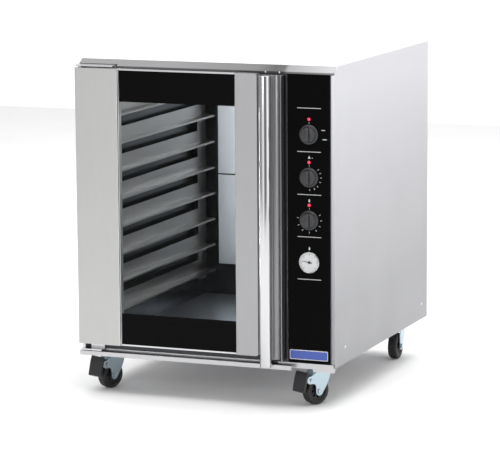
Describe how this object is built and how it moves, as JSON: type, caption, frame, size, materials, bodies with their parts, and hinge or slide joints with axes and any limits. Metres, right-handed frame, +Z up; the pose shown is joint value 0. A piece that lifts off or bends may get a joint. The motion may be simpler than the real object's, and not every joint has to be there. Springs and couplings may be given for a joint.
{
  "type": "proofing cabinet",
  "caption": "Low half-height dough proofing cabinet with a full glass door, side control column, two tray racks, fan duct and four swivel castors, the front two with brake pedals.",
  "frame": {"origin": "on the floor, under the middle of the overall box", "axes": "+Z up, -Y towards the person who stands in front of the door, +X to that person's right"},
  "size_m": [0.7386, 0.85, 0.914],
  "materials": {
    "stainless_panel": "satin brushed stainless sheet",
    "bright_trim": "bright stainless",
    "polished_liner": "polished stainless sheet",
    "rack_steel": "smooth stainless sheet",
    "handle_chrome": "polished",
    "insulation_wool": "matt mineral wool",
    "black_facia": "gloss black print",
    "badge_blue": "blue enamel with a silver border",
    "knob_black": "satin black moulding",
    "unit_plastic": "matt moulding",
    "lamp_red": "glossy red lens",
    "dial_white": "white dial in a bright rim",
    "clear_lens": "clear",
    "needle_black": "matt black",
    "fan_aluminium": "plain sheet",
    "motor_iron": "painted dark grey",
    "element_steel": "dark oxidised tube",
    "lamp_glass": "frosted cover",
    "door_glass": "clear tempered",
    "seal_rubber": "matt",
    "gland_black": "matt nylon",
    "zinc_steel": "bright zinc plate",
    "castor_rubber": "matt black tread on a black core",
    "pedal_plastic": "satin black"
  },
  "bodies": {
    "cabinet": {"left_side_panel": "stainless_panel", "right_side_panel": "stainless_panel", "top_panel": "stainless_panel", "top_fascia": "bright_trim", "rear_panel": "stainless_panel", "base_chassis": "stainless_panel", "front_frame": "stainless_panel", "door_sill": "stainless_panel", "liner_left": "polished_liner", "liner_right": "polished_liner", "liner_ceiling": "polished_liner", "liner_floor": "polished_liner", "liner_rear": "polished_liner", "rear_baffle": "polished_liner", "insulation": "insulation_wool", "control_facia": "black_facia", "control_chassis": "stainless_panel", "badge_plate": "badge_blue", "control_units": "unit_plastic", "indicator_lamps": "lamp_red", "thermometer_case": "dial_white", "thermometer_lens": "clear_lens", "left_rack": "rack_steel", "right_rack": "rack_steel", "rack_hooks": "bright_trim", "fan_motor": "motor_iron", "heating_element": "element_steel", "water_tray": "rack_steel", "humidity_element": "element_steel", "cavity_lamp": "lamp_glass", "door_hinges": "bright_trim", "panel_screws": "bright_trim", "inlet_gland": "gland_black", "castor_plates": "zinc_steel"},
    "door": {"door_left_stile": "stainless_panel", "door_right_stile": "stainless_panel", "door_rails": "bright_trim", "outer_glass": "door_glass", "inner_glass": "door_glass", "glass_bands": "black_facia", "door_gasket": "seal_rubber", "door_handle": "handle_chrome", "handle_channel": "bright_trim"},
    "mode_dial": {"mode_knob": "knob_black"},
    "temperature_dial": {"temperature_knob": "knob_black"},
    "humidity_dial": {"humidity_knob": "knob_black"},
    "needle": {"thermometer_needle": "needle_black"},
    "fan": {"fan_rotor": "fan_aluminium"},
    "castor_front_left": {"fork_front_left": "zinc_steel"},
    "roller_front_left": {"wheel_front_left": "castor_rubber"},
    "brake_front_left": {"pedal_front_left": "pedal_plastic"},
    "castor_front_right": {"fork_front_right": "zinc_steel"},
    "roller_front_right": {"wheel_front_right": "castor_rubber"},
    "brake_front_right": {"pedal_front_right": "pedal_plastic"},
    "castor_rear_left": {"fork_rear_left": "zinc_steel"},
    "roller_rear_left": {"wheel_rear_left": "castor_rubber"},
    "castor_rear_right": {"fork_rear_right": "zinc_steel"},
    "roller_rear_right": {"wheel_rear_right": "castor_rubber"}
  },
  "joints": [
    {"name": "door_swing", "type": "hinge", "parent": "cabinet", "child": "door", "pos_m": [-0.355, -0.3955, 0.502], "axis": [0, 0, -1], "range_deg": [0, 115]},
    {"name": "mode_turn", "type": "hinge", "parent": "cabinet", "child": "mode_dial", "pos_m": [0.2985, -0.384, 0.7355], "axis": [0, 1, 0], "range_deg": [0, 120]},
    {"name": "temperature_turn", "type": "hinge", "parent": "cabinet", "child": "temperature_dial", "pos_m": [0.2985, -0.384, 0.6217], "axis": [0, 1, 0], "range_deg": [0, 270]},
    {"name": "humidity_turn", "type": "hinge", "parent": "cabinet", "child": "humidity_dial", "pos_m": [0.2985, -0.384, 0.5079], "axis": [0, 1, 0], "range_deg": [0, 270]},
    {"name": "needle_turn", "type": "hinge", "parent": "cabinet", "child": "needle", "pos_m": [0.2985, -0.384, 0.3951], "axis": [0, 1, 0], "range_deg": [-45, 180], "stiffness_Nm_per_rad": 0.0002},
    {"name": "fan_spin", "type": "hinge", "parent": "cabinet", "child": "fan", "pos_m": [-0.03, 0.361, 0.681], "axis": [0, 1, 0], "continuous": true},
    {"name": "swivel_front_left", "type": "hinge", "parent": "cabinet", "child": "castor_front_left", "pos_m": [-0.303, -0.304, 0.105], "axis": [0, 0, 1], "continuous": true},
    {"name": "roll_front_left", "type": "hinge", "parent": "castor_front_left", "child": "roller_front_left", "pos_m": [-0.31124, -0.3244, 0.0375], "axis": [0.9272, -0.3746, 0], "continuous": true},
    {"name": "brake_front_left", "type": "hinge", "parent": "castor_front_left", "child": "brake_front_left", "pos_m": [-0.32173, -0.35036, 0.071], "axis": [0.9272, -0.3746, 0], "range_deg": [0, 14]},
    {"name": "swivel_front_right", "type": "hinge", "parent": "cabinet", "child": "castor_front_right", "pos_m": [0.303, -0.304, 0.105], "axis": [0, 0, 1], "continuous": true},
    {"name": "roll_front_right", "type": "hinge", "parent": "castor_front_right", "child": "roller_front_right", "pos_m": [0.292, -0.32305, 0.0375], "axis": [0.866, -0.5, 0], "continuous": true},
    {"name": "brake_front_right", "type": "hinge", "parent": "castor_front_right", "child": "brake_front_right", "pos_m": [0.278, -0.3473, 0.071], "axis": [0.866, -0.5, 0], "range_deg": [0, 14]},
    {"name": "swivel_rear_left", "type": "hinge", "parent": "cabinet", "child": "castor_rear_left", "pos_m": [-0.303, 0.336, 0.105], "axis": [0, 0, 1], "continuous": true},
    {"name": "roll_rear_left", "type": "hinge", "parent": "castor_rear_left", "child": "roller_rear_left", "pos_m": [-0.30869, 0.31475, 0.0375], "axis": [0.9659, -0.2588, 0], "continuous": true},
    {"name": "swivel_rear_right", "type": "hinge", "parent": "cabinet", "child": "castor_rear_right", "pos_m": [0.303, 0.336, 0.105], "axis": [0, 0, 1], "continuous": true},
    {"name": "roll_rear_right", "type": "hinge", "parent": "castor_rear_right", "child": "roller_rear_right", "pos_m": [0.30377, 0.31401, 0.0375], "axis": [0.9994, 0.0349, 0], "continuous": true}
  ]
}
